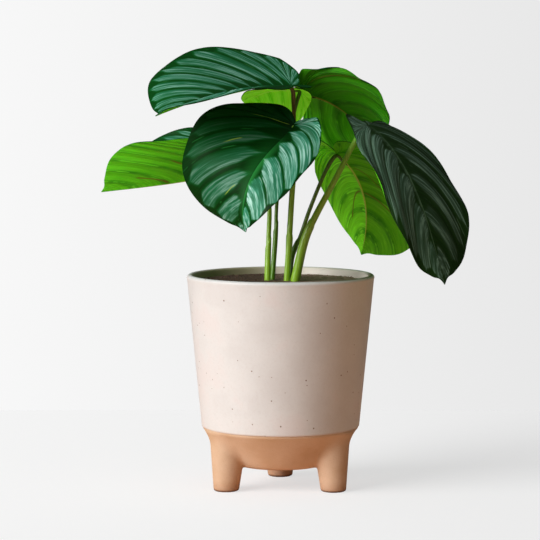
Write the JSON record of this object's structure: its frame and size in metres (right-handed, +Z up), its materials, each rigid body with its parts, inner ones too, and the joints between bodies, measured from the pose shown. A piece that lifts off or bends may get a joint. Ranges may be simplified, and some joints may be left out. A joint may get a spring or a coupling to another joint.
{
  "type": "potted calathea with striped round leaves",
  "caption": "Potted calathea: round silver-striped leaves on slim stalks, in soil in a three-legged pot, glazed above and bare clay below.",
  "frame": {"origin": "on the floor, at the pot's axis, under the middle of the whole plant", "axes": "+Z up; +Y away from the plant's front; +X to the right as seen from the front"},
  "size_m": [0.3694, 0.2405, 0.4429],
  "materials": {
    "pot": "satin",
    "soil": "matte",
    "leaf": "satin",
    "leaf_dark": "satin",
    "leaf_under": "satin"
  },
  "bodies": {
    "root": {"pot": "pot", "soil": "soil", "leaf_top_left": "leaf", "leaf_top_right": "leaf_under", "leaf_front": "leaf", "leaf_left": "leaf", "leaf_right": "leaf_dark", "leaf_middle_right": "leaf_under", "leaf_back": "leaf_under"}
  },
  "joints": []
}
